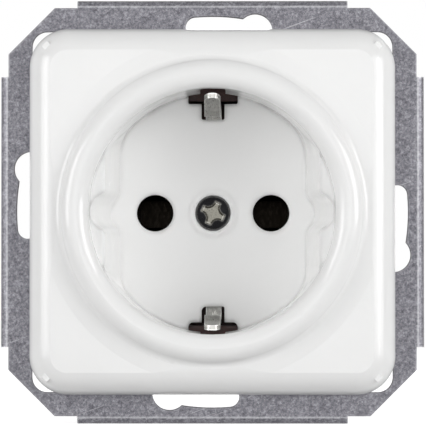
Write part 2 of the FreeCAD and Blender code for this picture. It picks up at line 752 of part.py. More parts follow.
# Earth bracket with its two clips
def clip_outline(up, crest):
    """Side view of a clip and its spring loop as (Y, Z), above (1) or below (-1) the middle."""
    thick = named("clip_thickness")
    foot = named("clip_foot_reach")
    tip = named("clip_tip_reach")
    tip_y = lip_crest + named("clip_tip_drop")
    bend_y = lip_crest + named("clip_bend_drop")
    crest_y = lip_crest + named("clip_crest_drop")
    foot_y = lip_crest + named("clip_foot_drop")
    bend = crest + named("clip_bend_step")
    leg, loop_y = named("loop_inner"), named("loop_depth")
    clip = [(tip_y, tip), (bend_y, bend), (crest_y, crest), (foot_y, foot)]
    inner = clip + [(loop_y - thick, foot), (loop_y - thick, leg + thick), (boss_rear, leg + thick)]
    outer = [(boss_rear, leg), (loop_y, leg), (loop_y, foot + thick)]
    outer += [(y, z + thick) for y, z in reversed(clip)]
    return [corner(y, z * up) for y, z in inner + outer]


def build_earth_bracket():
    body = new_body("earth_bracket")
    half = named("bracket_width") / 2
    end = named("loop_inner") + named("clip_thickness")
    web = rectangle(-half, -end, half, end)
    pad(body, "bracket_web", "front", [web], boss_rear, bracket_rear)
    clip_half = named("clip_width") / 2
    for label, up in (("upper", 1), ("lower", -1)):
        outline = clip_outline(up, named(f"clip_crest_{label}"))
        pad(body, f"bracket_clip_{label}", "side", [outline], -clip_half, clip_half)
    tip_y = lip_crest + named("clip_tip_drop")
    dress(body, "Fillet", "bracket_tip_rounds", "Radius", named("clip_tip_round"),
          lambda edge: abs(edge.BoundBox.XLength) < 1e-4 and lies_at(edge, tip_y))
    bends = [lip_crest + named(f"clip_{place}_drop") for place in ("bend", "crest", "foot")]
    bends.append(named("loop_depth"))
    dress(body, "Fillet", "bracket_bend_rounds", "Radius", named("clip_bend_round"),
          lambda edge: edge.BoundBox.XLength > 1 and any(lies_at(edge, y) for y in bends))

    tail_low = named("tail_inner")
    tail_high = tail_low + named("tail_width")
    plate_in = named("base_half_height")
    plate_out = plate_in + named("bracket_thickness")
    branch = end - named("tail_width")
    pad(body, "bracket_branch", "front", [rectangle(0, -end, tail_high, -branch)], boss_rear, bracket_rear)
    pad(body, "bracket_tail", "front", [rectangle(tail_low, -plate_out, tail_high, -branch)],
        boss_rear, bracket_rear)
    plate_half = named("tail_plate_width") / 2
    wide_front = strap_front
    tail = [
        corner(tail_low, boss_rear),
        corner(tail_high, boss_rear),
        corner(tail_high, wide_front),
        corner(plate_half, wide_front + (tail_high - plate_half)),
        corner(plate_half, strap_rear),
        corner(-plate_half, strap_rear),
        corner(-plate_half, wide_front),
        corner(tail_low, wide_front),
    ]
    pad(body, "bracket_terminal", "top", [tail], -plate_out, -plate_in)
    hole = Circle(0, terminal_y, thread_radius + named("thread_gap"))
    pocket(body, "bracket_terminal_hole", "top", [hole], -plate_out, -plate_in)
    boss_end = bracket_rear + named("nut_boss_height")
    pad(body, "bracket_boss", "front", [Circle(0, 0, named("nut_boss_radius"))], boss_rear, boss_end)
    thread = named("cover_screw_diameter") / 2 + named("thread_gap")
    pocket(body, "bracket_thread", "front", [Circle(0, 0, thread)], boss_rear, boss_end)
    return body


# Base
def build_socket_base():
    body = new_body("socket_base")
    gap = named("cup_gap")
    cup_rear = base_front + named("cup_floor")
    pad(body, "base_flange", "front", [Circle(0, 0, flange_radius)], 0, named("flange_thickness"))
    pad(body, "base_cup", "front", [Circle(0, 0, cup_radius)], 0, cup_rear)
    wide, high = named("base_half_width"), named("base_half_height")
    block = rounded(-wide, -high, wide, high, named("base_corner"))
    pad(body, "base_block", "front", [block], base_front, base_rear)

    pivot_x, pivot_y = claw_pivot_x, named("claw_pivot_depth")
    groove = named("claw_barrel_radius") + named("claw_barrel_gap")
    lip_x = pivot_x + named("claw_groove_cover")
    boss_half = groove * 2
    boss_high = named("claw_notch_half") - gap
    bosses = [
        rectangle(side * (wide - 1), pivot_y - boss_half, side * lip_x, pivot_y + boss_half)
        for side in (-1, 1)
    ]
    pad(body, "base_pivot_bosses", "top", bosses, -boss_high, boss_high)

    pocket(body, "base_cup_bore", "front", [Circle(0, 0, cup_bore)], 0, base_front)
    notch = named("claw_notch_half")
    notch_from = cup_bore - named("claw_notch_cut")
    beyond = flange_radius + 1
    notches = [
        rectangle(side * notch_from, -notch, side * beyond, notch) for side in (-1, 1)
    ]
    pocket(body, "base_claw_notches", "front", notches, 0, base_rear)
    barrel_half = named("claw_half_height") + gap
    grooves = [Circle(side * pivot_x, pivot_y, groove) for side in (-1, 1)]
    pocket(body, "base_pivot_grooves", "top", grooves, -barrel_half, barrel_half)

    boss_hole = Circle(0, 0, named("screw_boss_radius") + gap)
    pocket(body, "base_boss_recess", "front", [boss_hole], base_front, boss_rear)
    strip = named("bracket_width") / 2 + gap
    end = named("loop_inner") + named("clip_thickness") + gap
    strip_groove = rectangle(-strip, -end, strip, end)
    pocket(body, "base_strip_groove", "front", [strip_groove], base_front, bracket_rear)
    clip_half = named("clip_well_half_width")
    clip_low = named("loop_inner") - gap
    clip_high = named("clip_foot_reach") + named("clip_thickness") + gap
    wells = [rectangle(-clip_half, up * clip_low, clip_half, up * clip_high) for up in (-1, 1)]
    pocket(body, "base_clip_wells", "front", wells, base_front, named("loop_depth") + gap)
    tail_low = named("tail_inner") - gap
    tail_high = named("tail_inner") + named("tail_width") + gap
    tail_out = high + named("bracket_thickness") + gap
    tail_root = end - named("tail_width") - gap * 2
    pocket(body, "base_branch_slot", "front", [rectangle(0, -end, tail_high, -tail_root)],
           base_front, bracket_rear)
    pocket(body, "base_tail_slot", "front", [rectangle(tail_low, -tail_out, tail_high, -tail_root)],
           base_front, bracket_rear)
    nut_hole = Circle(0, 0, named("nut_boss_radius") + gap)
    screw_end = boss_rear + named("cover_screw_reach") + gap
    pocket(body, "base_nut_hole", "front", [nut_hole], bracket_rear, screw_end)

    low, far = named("chamber_inner"), named("chamber_outer")
    tall = named("chamber_half_height")
    chambers = [rectangle(side * low, -tall, side * far, tall) for side in (-1, 1)]
    pocket(body, "base_chambers", "front", chambers, base_front, chamber_rear)
    strap_gap = named("strap_gap")
    strap_tall = named("strap_half_height") + strap_gap
    strap_slots = [
        rectangle(side * (strap_inner - strap_gap), -strap_tall, side * far, strap_tall) for side in (-1, 1)
    ]
    pocket(body, "base_strap_slots", "front", strap_slots, base_front, chamber_rear)
    bay_low, bay_high = named("bay_inner"), named("bay_outer")
    bays = [
        rectangle(side * strap_outer, up * bay_low, side * (wide + 1), up * bay_high)
        for side in (-1, 1)
        for up in (-1, 1)
    ]
    pocket(body, "base_bays", "front", bays, named("bay_front"), base_rear)
    tip_hole = thread_radius + gap
    tip_end = strap_inner - named("terminal_reach") - gap
    tips = [Circle(terminal_y, up * named("terminal_offset"), tip_hole) for up in (-1, 1)]
    pocket(body, "base_tips_right", "side", tips, tip_end, strap_inner)
    pocket(body, "base_tips_left", "side", tips, -strap_inner, -tip_end)
    earth_tip = high - named("terminal_reach") - gap
    pocket(body, "base_earth_tip", "top", [Circle(0, terminal_y, tip_hole)], -high, -earth_tip)

    rivets = [
        Circle(side * rivet_offset, up * rivet_offset, rivet_hole) for side in (-1, 1) for up in (-1, 1)
    ]
    pocket(body, "base_rivet_holes", "front", rivets, 0, named("flange_thickness"))
    recess_wide, recess_high = named("rear_recess_half_width"), named("rear_recess_half_height")
    recess = rounded(-recess_wide, -recess_high, recess_wide, recess_high, named("base_corner") / 2)
    pocket(body, "base_rear_recess", "front", [recess], base_rear - named("rear_recess_depth"), base_rear)
    return body


# Pole contacts
def build_contact(label, half_turn):
    body = new_body(label, half_turn)
    sheet_thick = named("contact_sheet")
    throat = named("contact_throat") / 2
    mouth = named("contact_mouth") / 2
    foot = named("contact_foot") / 2
    front = base_front + named("contact_front_gap")
    grip = front + named("contact_width") / 2
    middle = (grip + web_front) / 2
    leaf_low = pin_x - named("contact_width") / 2
    leaf_high = pin_x + named("contact_width") / 2 - named("strap_gap") * 2
    for side, up in (("upper", 1), ("lower", -1)):
        inner = [(front, mouth), (grip, throat), (middle, foot), (strap_rear, foot)]
        outer = [(y, z + sheet_thick) for y, z in reversed(inner)]
        outline = [corner(y, z * up) for y, z in inner + outer]
        pad(body, f"{label}_leaf_{side}", "side", [outline], leaf_low, leaf_high)
        if up == 1:
            span = foot + sheet_thick
            web = rectangle(leaf_low, -span, strap_inner, span)
            pad(body, f"{label}_web", "front", [web], web_front, strap_rear)
    strap_tall = named("strap_half_height")
    strap = rectangle(strap_front, -strap_tall, strap_rear, strap_tall)
    pad(body, f"{label}_strap", "side", [strap], strap_inner, strap_outer)
    holes = [
        Circle(terminal_y, up * named("terminal_offset"), thread_radius + named("thread_gap"))
        for up in (-1, 1)
    ]
    pocket(body, f"{label}_threads", "side", holes, strap_inner, strap_outer)
    return body


# Terminal saddles and screws, drawn along Y with the strap at zero and the head in front
def build_saddle(label, place):
    body = new_body(label)
    length, width = named("saddle_length") / 2, named("saddle_width") / 2
    thick = named("saddle_thickness")
    rear = -named("terminal_wire_gap")
    outline = rounded(-length, -width, length, width, width / 4)
    pad(body, f"{label}_plate", "front", [outline], rear - thick, rear)
    lip = thick / 2
    bars = [
        rectangle(side * (length - thick), -width * 0.6, side * length, width * 0.6)
        for side in (-1, 1)
    ]
    pad(body, f"{label}_lips", "front", bars, rear - lip, rear + lip)
    hole = Circle(0, 0, thread_radius + named("saddle_gap"))
    pocket(body, f"{label}_hole", "front", [hole], rear - thick, rear)
    place(body)
    return body


def build_terminal_screw(label, place):
    body = new_body(label)
    seat = -named("terminal_wire_gap") - named("saddle_thickness")
    top = seat - named("terminal_head_height")
    head = named("terminal_head") / 2
    edge = named("terminal_head_height") / 6
    tip = named("strap_thickness") + named("terminal_reach")
    profile = [
        corner(0, top),
        corner(head - edge, top),
        corner(head, top + edge),
        corner(head, seat),
        corner(thread_radius, seat),
        corner(thread_radius, tip - edge),
        corner(thread_radius - edge, tip),
        corner(0, tip),
    ]
    revolve(body, f"{label}_turned", profile)
    half = named("terminal_slot") / 2
    slot = rectangle(-head - 1, -half, head + 1, half)
    pocket(body, f"{label}_slot", "front", [slot], top, top + named("terminal_head_height") * 0.55)
    place(body)
    return body


def place_at(body, axis, angle, x, y, z):
    turn = FreeCAD.Rotation(FreeCAD.Vector(*axis), angle)
    body.Placement = FreeCAD.Placement(FreeCAD.Vector(0, 0, 0), turn)
    for name, value in (("x", x), ("y", y), ("z", z)):
        bind(body, f"Placement.Base.{name}", value)


def pole_place(side, up):
    """Turns a terminal piece from Y to the side of the base, at the strap's outer face."""
    height = up * named("terminal_offset")
    return lambda body: place_at(body, (0, 0, 1), 90 * side, side * strap_outer, terminal_y, height)


def earth_place(body):
    """Turns a terminal piece from Y to the underside of the base, at the tail's outer face."""
    below = -named("base_half_height") - named("bracket_thickness")
    place_at(body, (1, 0, 0), 90, 0, terminal_y, below)


# Rivets between ring and base
def build_rivet(label, side, up):
    body = new_body(label)
    shank, bore = named("rivet_radius"), named("rivet_bore")
    head, height = named("rivet_head_radius"), named("rivet_head_height")
    rear = named("flange_thickness")
    edge = height / 3
    profile = [
        corner(bore, ring_front - height),
        corner(head - edge, ring_front - height),
        corner(head, ring_front - height + edge),
        corner(head, ring_front),
        corner(shank, ring_front),
        corner(shank, rear),
        corner(head, rear),
        corner(head, rear + height - edge),
        corner(head - edge, rear + height),
        corner(bore, rear + height),
    ]
    revolve(body, f"{label}_turned", profile)
    bind(body, "Placement.Base.x", side * rivet_offset)
    bind(body, "Placement.Base.z", up * rivet_offset)
    return body


# Claws with their screws and nuts
def build_claw(label, half_turn):
    body = new_body(label, half_turn)
    pivot_x, pivot_y = claw_pivot_x, named("claw_pivot_depth")
    half_sheet = named("claw_sheet") / 2
    tall = named("claw_half_height")
    end_x = claw_screw_x + named("claw_overreach")
    barrel_half = named("claw_barrel_half")
    plate = rectangle(pivot_x, pivot_y - half_sheet, end_x, pivot_y + half_sheet)
    pad(body, f"{label}_plate", "top", [plate], -tall, tall)
    barrel = Circle(pivot_x, pivot_y, named("claw_barrel_radius"))
    pad(body, f"{label}_barrel", "top", [barrel], -barrel_half, barrel_half)
    arm_end = pivot_y + half_sheet + named("claw_arm_length")
    flare = named("claw_arm_flare")
    inside = end_x - half_sheet
    outside = end_x + half_sheet
    arm = [
        corner(inside - half_sheet, pivot_y - half_sheet),
        corner(end_x, pivot_y - half_sheet),
        corner(outside, pivot_y + half_sheet),
        corner(outside, arm_end - flare),
        corner(outside + flare - half_sheet, arm_end - half_sheet),
        corner(outside + flare - half_sheet * 2, arm_end),
        corner(inside, arm_end - flare + half_sheet),
        corner(inside, pivot_y + half_sheet),
    ]
    pad(body, f"{label}_arms", "top", [arm], -tall, tall)
    between = named("claw_arm_half")
    clear = rectangle(pivot_y + half_sheet, -between, arm_end + 1, between)
    arm_root = pivot_x + named("claw_barrel_radius") * 2
    pocket(body, f"{label}_arm_gap", "side", [clear], arm_root, outside + flare)
    fork = named("claw_screw_diameter") / 2 + named("claw_fork_gap")
    fork_from = claw_screw_x - fork
    prongs = rectangle(fork_from, -fork, outside + flare, fork)
    pocket(body, f"{label}_fork", "front", [prongs], pivot_y - half_sheet * 2, pivot_y + half_sheet * 2)
    tooth = named("claw_tooth")
    arm_middle = (tall + between) / 2
    notches = [
        [
            corner(arm_end + half_sheet, up * arm_middle - tooth),
            corner(arm_end + half_sheet, up * arm_middle + tooth),
            corner(arm_end - tooth, up * arm_middle),
        ]
        for up in (-1, 1)
    ]
    pocket(body, f"{label}_teeth", "side", notches, inside, outside + flare)
    return body


def build_claw_screw(label, half_turn):
    body = new_body(label, half_turn)
    shank = named("claw_screw_diameter") / 2
    head = named("claw_screw_head") / 2
    height = named("claw_screw_head_height")
    top = ring_front - height
    edge = height / 5
    tip = named("claw_screw_end")
    profile = [
        corner(0, top),
        corner(head - edge, top),
        corner(head, top + edge),
        corner(head, ring_front),
        corner(shank, ring_front),
        corner(shank, tip - edge),
        corner(shank - edge, tip),
        corner(0, tip),
    ]
    revolve(body, f"{label}_turned", profile)
    half = named("terminal_slot") / 2
    slot = rectangle(-head - 1, -half, head + 1, half)
    pocket(body, f"{label}_slot", "front", [slot], top, top + height * 0.55)
    bind(body, "Placement.Base.x", -claw_screw_x if half_turn else claw_screw_x)
    return body


def build_claw_nut(label, half_turn):
    body = new_body(label, half_turn)
    radius = named("claw_nut_radius")
    half = named("claw_nut_half")
    middle = claw_screw_x
    touch = named("claw_pivot_depth") + named("claw_sheet") / 2 + named("claw_nut_gap")
    centre = touch + radius
    outline = [
        corner(middle - radius, centre),
        corner(middle, touch, radius, 1),
        corner(middle + radius, centre, radius, 1),
        corner(middle + radius, centre + radius / 2),
        corner(middle - radius, centre + radius / 2),
    ]
    pad(body, f"{label}_saddle", "top", [outline], -half, half)
    hole = Circle(middle, 0, named("claw_screw_diameter") / 2 + named("thread_gap"))
    pocket(body, f"{label}_thread", "front", [hole], touch, centre + radius / 2)
    return body


def group(label, bodies):
    """Identical fasteners as one node of separate solids."""
    compound = doc.addObject("Part::Compound", label)
    compound.Label = label
    compound.Links = bodies
    return compound


nodes = [
    build_support_ring(),
    build_cover(),
    build_cover_screw(),
    build_earth_bracket(),
    build_socket_base(),
]
sides = (("right", 1), ("left", -1))
levels = (("upper", 1), ("lower", -1))
pole_screws = []
for side_name, side in sides:
    mirrored = side < 0
    nodes.append(build_contact(f"contact_{side_name}", mirrored))
    nodes.append(build_claw(f"claw_{side_name}", mirrored))
    nodes.append(build_claw_screw(f"claw_screw_{side_name}", mirrored))
    nodes.append(build_claw_nut(f"claw_nut_{side_name}", mirrored))
    for level_name, up in levels:
        place = pole_place(side, up)
        nodes.append(build_saddle(f"saddle_{side_name}_{level_name}", place))
        pole_screws.append(build_terminal_screw(f"pole_screw_{side_name}_{level_name}", place))
nodes.append(build_saddle("earth_saddle", earth_place))
nodes.append(build_terminal_screw("earth_screw", earth_place))
nodes.append(group("pole_screws", pole_screws))
rivets = [
    build_rivet(f"rivet_{side_name}_{level_name}", side, up)
    for side_name, side in sides
    for level_name, up in levels
]
nodes.append(group("ring_rivets", rivets))
doc.recompute()

for item in doc.Objects:
    if "Invalid" in item.State or "Error" in item.State:
        raise ValueError(f"{item.Name} is not sound: {item.State}")
os.makedirs("parts", exist_ok=True)
for node in nodes:
    if node.Shape.isNull() or not node.Shape.isValid():
        raise ValueError(f"{node.Label} has no valid shape")
    node.Shape.exportStep(f"parts/{node.Label}.step")
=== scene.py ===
"""Looks of a flush-mounted earthed wall socket insert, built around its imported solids.

The frame is the solids' own: metres, X to the right, Z up, Y into the wall. The cover faces -Y.
"""

import json
import math

import bpy
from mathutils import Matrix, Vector


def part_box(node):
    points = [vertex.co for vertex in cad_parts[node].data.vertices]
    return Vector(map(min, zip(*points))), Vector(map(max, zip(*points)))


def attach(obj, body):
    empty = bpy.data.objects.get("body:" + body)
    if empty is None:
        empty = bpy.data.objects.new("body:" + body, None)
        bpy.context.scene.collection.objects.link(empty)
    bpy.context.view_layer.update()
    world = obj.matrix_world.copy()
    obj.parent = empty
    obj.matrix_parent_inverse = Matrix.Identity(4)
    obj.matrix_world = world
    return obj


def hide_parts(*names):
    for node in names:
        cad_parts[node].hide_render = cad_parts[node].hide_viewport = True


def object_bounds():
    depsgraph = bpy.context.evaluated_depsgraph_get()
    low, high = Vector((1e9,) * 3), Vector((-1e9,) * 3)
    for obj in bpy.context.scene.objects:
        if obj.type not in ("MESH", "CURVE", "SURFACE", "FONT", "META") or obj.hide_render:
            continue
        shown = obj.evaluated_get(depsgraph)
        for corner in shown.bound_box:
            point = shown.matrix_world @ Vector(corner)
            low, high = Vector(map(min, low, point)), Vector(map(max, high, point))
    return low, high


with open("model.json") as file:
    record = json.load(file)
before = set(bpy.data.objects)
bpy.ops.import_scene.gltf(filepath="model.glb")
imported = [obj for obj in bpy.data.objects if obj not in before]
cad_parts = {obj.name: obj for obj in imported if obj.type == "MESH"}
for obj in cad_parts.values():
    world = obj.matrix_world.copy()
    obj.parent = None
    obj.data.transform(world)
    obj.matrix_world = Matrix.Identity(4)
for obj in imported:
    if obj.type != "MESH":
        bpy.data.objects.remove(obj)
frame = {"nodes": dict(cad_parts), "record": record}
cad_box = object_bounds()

MM = 0.001

# The photograph's frame and viewpoint
IMAGE_SIDE = 426
SENSOR_WIDTH = 36.0
CAMERA_PLACE = Vector((7.0, -642.0, -14.0)) * MM
RING_CENTRE = Vector((0.0, -1.0, 0.0)) * MM
RING_PIXELS_PER_MM = 6.19
RING_PIXEL = (212.4, 211.9)

# Places on the solids that the finishes follow, in millimetres
RECESS_REACH = 20.4
SCREW_DOME = 10.59
PIN_HOLE_SHADE_REACH = 4.5
TAB_BEND = 33.2

# Rays for edge and corner masks
NEAR_SAMPLES = 8


def add_camera():
    """A long lens a little below and to the right of the socket's axis, aimed at the ring."""
    data = bpy.data.cameras.new("camera")
    camera = bpy.data.objects.new("camera", data)
    bpy.context.scene.collection.objects.link(camera)
    bpy.context.scene.camera = camera
    middle = IMAGE_SIDE / 2
    offset = Vector((middle - RING_PIXEL[0], 0.0, RING_PIXEL[1] - middle)) / RING_PIXELS_PER_MM * MM
    sight = RING_CENTRE + offset - CAMERA_PLACE
    focal_pixels = RING_PIXELS_PER_MM * sight.length / MM
    data.sensor_width = SENSOR_WIDTH
    data.lens = focal_pixels * SENSOR_WIDTH / IMAGE_SIDE
    data.clip_start = 0.01
    data.clip_end = 20.0
    camera.location = CAMERA_PLACE
    camera.rotation_mode = "QUATERNION"
    camera.rotation_quaternion = sight.to_track_quat("-Z", "Y")


class Graph:
    """A node tree that takes nodes by type, with each input a value or another node's socket."""

    def __init__(self, tree):
        self.tree = tree

    def add(self, kind, inputs=None, **settings):
        node = self.tree.nodes.new(kind)
        for name, value in settings.items():
            setattr(node, name, value)
        for key, value in (inputs or {}).items():
            self.feed(node.inputs[key], value)
        return node

    def feed(self, socket, value):
        if isinstance(value, bpy.types.NodeSocket):
            self.tree.links.new(value, socket)
        else:
            socket.default_value = value

    def math(self, operation, first, second=0.0, third=0.0):
        node = self.add("ShaderNodeMath", {0: first, 1: second, 2: third}, operation=operation)
        return node.outputs[0]

    def blend(self, factor, first, second):
        """A colour between two colours."""
        node = self.add("ShaderNodeMix", data_type="RGBA")
        self.feed(node.inputs["Factor"], factor)
        self.feed(node.inputs[6], first)
        self.feed(node.inputs[7], second)
        return node.outputs[2]

    def spread(self, value, low, high, from_low=0.0, from_high=1.0):
        """A value carried from one range to another, held at its ends."""
        node = self.add(
            "ShaderNodeMapRange",
            {
                "Value": value,
                "From Min": from_low,
                "From Max": from_high,
                "To Min": low,
                "To Max": high,
            },
        )
        return node.outputs["Result"]

    def ramp(self, value, *stops):
        """A colour from a value, by stops of place and colour."""
        node = self.add("ShaderNodeValToRGB", {"Fac": value})
        elements = node.color_ramp.elements
        while len(elements) < len(stops):
            elements.new(1.0)
        for element, (place, colour) in zip(elements, stops):
            element.position = place
            element.color = (*colour, 1.0)
        return node.outputs["Color"]


class Finish(Graph):
    """A procedural material whose patterns are laid out in millimetres on the solids."""

    def __init__(self, name):
        self.material = bpy.data.materials.new(name)
        self.material.use_nodes = True
        super().__init__(self.material.node_tree)
        self.shader = self.tree.nodes["Principled BSDF"]
        place = self.add("ShaderNodeTexCoord").outputs["Object"]
        scaled = self.add("ShaderNodeVectorMath", {0: place, "Scale": 1 / MM}, operation="SCALE")
        self.place = scaled.outputs["Vector"]

    def stretched(self, x, y, z):
        """The millimetre coordinates, multiplied along each axis."""
        node = self.add("ShaderNodeVectorMath", {0: self.place, 1: (x, y, z)}, operation="MULTIPLY")
        return node.outputs["Vector"]

    def noise(self, per_mm, detail=4.0, roughness=0.6, place=None, distortion=0.0):
        node = self.add(
            "ShaderNodeTexNoise",
            {
                "Vector": place or self.place,
                "Scale": per_mm,
                "Detail": detail,
                "Roughness": roughness,
                "Distortion": distortion,
            },
        )
        return node.outputs["Fac"]

    def cells(self, per_mm, output="Distance"):
        node = self.add("ShaderNodeTexVoronoi", {"Vector": self.place, "Scale": per_mm})
        return node.outputs[output]

    def scratches(self, along, across, turn, cut):
        """Thin straight marks: one where a noise drawn out along a turned axis passes a level."""
        turned = self.add(
            "ShaderNodeVectorRotate",
            {"Vector": self.place, "Axis": (0.0, 1.0, 0.0), "Angle": turn},
            rotation_type="AXIS_ANGLE",
        )
        drawn = self.add(
            "ShaderNodeVectorMath",
            {0: turned.outputs["Vector"], 1: (along, across, across)},
            operation="MULTIPLY",
        )
        streaks = self.noise(1.0, 2.0, 0.5, drawn.outputs["Vector"])
        return self.spread(streaks, 0.0, 1.0, cut, cut + 0.03)

    def relief(self, height, depth_mm, under=None):
        """Fine relief from a height pattern, on the shape's own normal or another one."""
        node = self.add(
            "ShaderNodeBump", {"Height": height, "Strength": 1.0, "Distance": depth_mm * MM}
        )
        if under:
            self.feed(node.inputs["Normal"], under)
        self.feed(self.shader.inputs["Normal"], node.outputs["Normal"])

    def softened(self, round_mm, where):
        """The shape's normal, rounded over edges by a small radius where a mask is 1."""
        own = self.add("ShaderNodeNewGeometry").outputs["Normal"]
        soft = self.add("ShaderNodeBevel", {"Radius": round_mm * MM}, samples=NEAR_SAMPLES)
        node = self.add("ShaderNodeMix", data_type="VECTOR")
        self.feed(node.inputs["Factor"], where)
        self.feed(node.inputs[4], own)
        self.feed(node.inputs[5], soft.outputs["Normal"])
        return node.outputs[1]

    def openness(self, reach_mm, inside):
        """How far rays get from the surface, outward or into the solid."""
        node = self.add(
            "ShaderNodeAmbientOcclusion",
            {"Distance": reach_mm * MM},
            samples=NEAR_SAMPLES,
            inside=inside,
            only_local=True,
        )
        return node.outputs["AO"]

    def edges(self, reach_mm):
        """1 at convex edges, where rays cast inward soon meet the next face."""
        return self.spread(self.openness(reach_mm, True), 1.0, 0.0, 0.55, 0.92)

    def hollows(self, reach_mm):
        """1 in corners and gaps, 0 on open faces."""
        return self.spread(self.openness(reach_mm, False), 1.0, 0.0, 0.35, 0.95)

    def axes(self):
        """The millimetre coordinates as separate values, by axis name."""
        return self.add("ShaderNodeSeparateXYZ", {0: self.place}).outputs

    def from_axis(self):
        """Distance from the socket's middle axis."""
        flat = self.stretched(1.0, 0.0, 1.0)
        return self.add("ShaderNodeVectorMath", {0: flat}, operation="LENGTH").outputs["Value"]


def set_shader(finish, values):
    for name, value in values.items():
        finish.feed(finish.shader.inputs[name], value)


def white_moulding():
    """Glossy white plastic with a faint orange peel, rubbed gloss, and a little dust and painted shade
    in the corners.
    """
    finish = Finish("white_moulding")
    cloud = finish.noise(0.06, 3.0)
    shade = finish.blend(cloud, (0.885, 0.885, 0.88, 1.0), (0.92, 0.92, 0.915, 1.0))
    # Painted shade: darker where the corner mask finds hollows, standing in for shade in corners and
    # creases, with a little dust.
    corner_dust_and_shade = finish.spread(finish.noise(0.7, 5.0), 0.0, 0.1, 0.45, 0.65)
    corner_dust_and_shade = finish.math("MULTIPLY", corner_dust_and_shade, finish.hollows(0.8))
    shade = finish.blend(corner_dust_and_shade, shade, (0.52, 0.5, 0.47, 1.0))
    seed = finish.add("ShaderNodeSeparateColor", {0: finish.cells(0.16, "Color")}).outputs[0]
    rare = finish.spread(seed, 0.0, 1.0, 0.9, 0.92)
    speck = finish.spread(finish.cells(0.16), 1.0, 0.0, 0.018, 0.035)
    speck = finish.math("MULTIPLY", finish.math("MULTIPLY", speck, rare), 0.6)
    shade = finish.blend(speck, shade, (0.25, 0.22, 0.2, 1.0))
    rub = finish.scratches(0.05, 3.0, 0.5, 0.66)
    gloss = finish.spread(finish.noise(0.35, 4.0), 0.1, 0.2, 0.3, 0.7)
    gloss = finish.math("ADD", gloss, finish.math("MULTIPLY", rub, 0.08))
    set_shader(finish, {"Base Color": shade, "Roughness": gloss, "IOR": 1.5})
    recess = finish.spread(finish.from_axis(), 1.0, 0.0, RECESS_REACH, RECESS_REACH + 0.5)
    finish.relief(finish.noise(0.9, 2.0), 0.004, finish.softened(1.1, recess))
    return finish.material


def galvanised_sheet():
    """Grey zinc on rolled steel: spangle cells, a fine mottle, and rolling and handling scratches."""
    finish = Finish("galvanised_sheet")
    spangle = finish.add("ShaderNodeSeparateColor", {0: finish.cells(1.6, "Color")}).outputs[0]
    mottle = finish.noise(2.6, 8.0, 0.85)
    cloud = finish.noise(0.25, 3.0)
    tone = finish.math("MULTIPLY", spangle, 0.15)
    tone = finish.math("MULTIPLY_ADD", finish.spread(mottle, 0.0, 1.0, 0.36, 0.64), 0.7, tone)
    tone = finish.math("MULTIPLY_ADD", cloud, 0.15, tone)
    shade = finish.ramp(
        tone,
        (0.1, (0.055, 0.054, 0.064)),
        (0.5, (0.165, 0.162, 0.182)),
        (0.95, (0.40, 0.397, 0.425)),
    )
    scuff = finish.math(
        "MAXIMUM", finish.scratches(0.06, 4.0, 0.35, 0.68), finish.scratches(0.05, 5.0, -1.1, 0.7)
    )
    shade = finish.blend(finish.math("MULTIPLY", scuff, 0.5), shade, (0.5, 0.5, 0.52, 1.0))
    # Painted highlight along the convex edges, partly bare worn edges.
    shade = finish.blend(finish.math("MULTIPLY", finish.edges(0.35), 0.6), shade, (0.6, 0.6, 0.62, 1.0))
    # Painted highlight: a light stripe along the bend of the side tabs, where the rounded bend catches
    # the light.
    place = finish.axes()
    out = finish.math(
        "MAXIMUM", finish.math("ABSOLUTE", place["X"]), finish.math("ABSOLUTE", place["Z"])
    )
    from_bend = finish.math("ABSOLUTE", finish.math("SUBTRACT", out, TAB_BEND))
    stretched = finish.spread(from_bend, 1.0, 0.0, 0.02, 0.24)
    drawn = finish.math("MULTIPLY", stretched, finish.spread(mottle, 0.2, 0.8, 0.3, 0.7))
    shade = finish.blend(drawn, shade, (0.58, 0.58, 0.6, 1.0))
    gloss = finish.spread(mottle, 0.36, 0.6, 0.3, 0.7)
    set_shader(finish, {"Base Color": shade, "Roughness": gloss, "Metallic": 0.85})
    finish.relief(mottle, 0.012)
    return finish.material


def zinc_plate():
    """Bright zinc plating on small turned and stamped steel parts."""
    finish = Finish("zinc_plate")
    cloud = finish.noise(0.9, 5.0)
    grain = finish.noise(4.0, 4.0)
    shade = finish.ramp(
        cloud, (0.3, (0.40, 0.405, 0.42)), (0.55, (0.52, 0.525, 0.54)), (0.75, (0.60, 0.60, 0.60))
    )
    gloss = finish.spread(grain, 0.24, 0.42, 0.3, 0.7)
    set_shader(finish, {"Base Color": shade, "Roughness": gloss, "Metallic": 1.0})
    finish.relief(grain, 0.006)
    return finish.material


def passivated_claw():
    """Stamped claw steel: zinc with a warm passivated tint that varies over the part."""
    finish = Finish("passivated_claw")
    cloud = finish.noise(0.5, 4.0)
    grain = finish.noise(3.0, 5.0)
    shade = finish.ramp(
        cloud, (0.3, (0.46, 0.41, 0.29)), (0.5, (0.52, 0.48, 0.37)), (0.72, (0.52, 0.50, 0.47))
    )
    gloss = finish.spread(grain, 0.28, 0.48, 0.3, 0.7)
    set_shader(finish, {"Base Color": shade, "Roughness": gloss, "Metallic": 1.0})
    finish.relief(grain, 0.01)
    return finish.material


def thermoset():
    """Dark red-brown moulding compound with filler flecks and a dull skin."""
    finish = Finish("thermoset")
    fleck = finish.noise(3.0, 6.0, 0.7)
    flow = finish.noise(0.2, 3.0, 0.5, finish.stretched(1.0, 0.3, 1.0))
    tone = finish.math("MULTIPLY_ADD", fleck, 0.6, finish.math("MULTIPLY", flow, 0.4))
    shade = finish.ramp(
        tone, (0.3, (0.026, 0.009, 0.008)), (0.5, (0.055, 0.016, 0.013)), (0.7, (0.1, 0.034, 0.027))
    )
    gloss = finish.spread(fleck, 0.34, 0.56, 0.3, 0.7)
    set_shader(finish, {"Base Color": shade, "Roughness": gloss})
    finish.relief(fleck, 0.012)
    return finish.material


